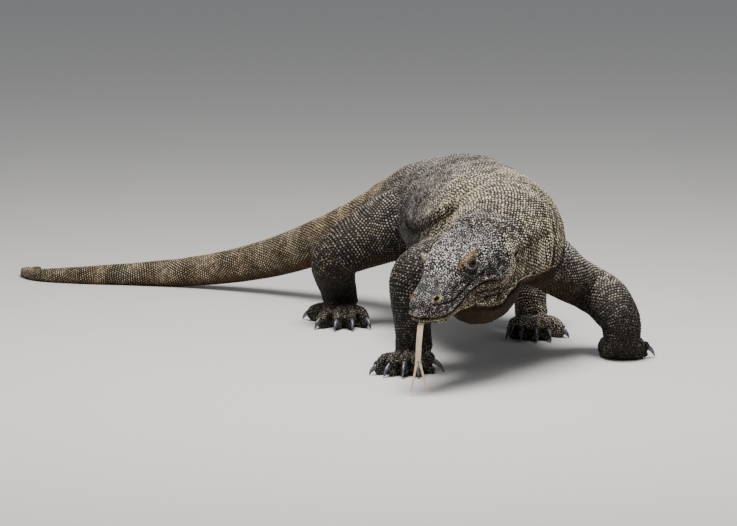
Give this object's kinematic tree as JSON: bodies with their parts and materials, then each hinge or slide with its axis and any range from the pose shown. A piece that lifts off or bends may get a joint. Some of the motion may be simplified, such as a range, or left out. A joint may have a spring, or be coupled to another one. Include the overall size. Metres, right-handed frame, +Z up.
{
  "type": "komodo dragon",
  "caption": "Life-size standing model of a walking komodo dragon, head low and turned, forked tongue out, tail swung to its right",
  "frame": {"origin": "on the floor, at the centre of the bottom face of the box around the whole animal", "axes": "+Z up; the animal walks towards -Y and looks down and to its right, so its left side is +X; the tail swings to -X"},
  "size_m": [1.3202, 1.5984, 0.3706],
  "materials": {
    "skin": "dry beaded scales, dark brown-grey with pale yellowish dots, matt with a faint sheen",
    "claw": "dark blue-grey horn, worn and slightly glossy",
    "eye": "wet dark brown, glossy",
    "tongue": "moist yellow-beige flesh"
  },
  "bodies": {
    "root": {"head": "skin", "lower_jaw": "skin", "neck": "skin", "trunk": "skin", "tail_base": "skin", "tail_middle": "skin", "tail_end": "skin", "tail_tip": "skin", "upper_arm_left": "skin", "upper_arm_right": "skin", "forearm_left": "skin", "forearm_right": "skin", "hand_left": "skin", "hand_right": "skin", "thigh_left": "skin", "thigh_right": "skin", "shank_left": "skin", "shank_right": "skin", "foot_left": "skin", "foot_right": "skin", "claw_hand_left_1": "claw", "claw_hand_left_2": "claw", "claw_hand_left_3": "claw", "claw_hand_left_4": "claw", "claw_hand_left_5": "claw", "claw_hand_right_1": "claw", "claw_hand_right_2": "claw", "claw_hand_right_3": "claw", "claw_hand_right_4": "claw", "claw_hand_right_5": "claw", "claw_foot_left_1": "claw", "claw_foot_left_2": "claw", "claw_foot_left_3": "claw", "claw_foot_left_4": "claw", "claw_foot_left_5": "claw", "claw_foot_right_1": "claw", "claw_foot_right_2": "claw", "claw_foot_right_3": "claw", "claw_foot_right_4": "claw", "claw_foot_right_5": "claw", "eye_left": "eye", "eye_right": "eye", "tongue": "tongue"}
  },
  "joints": []
}
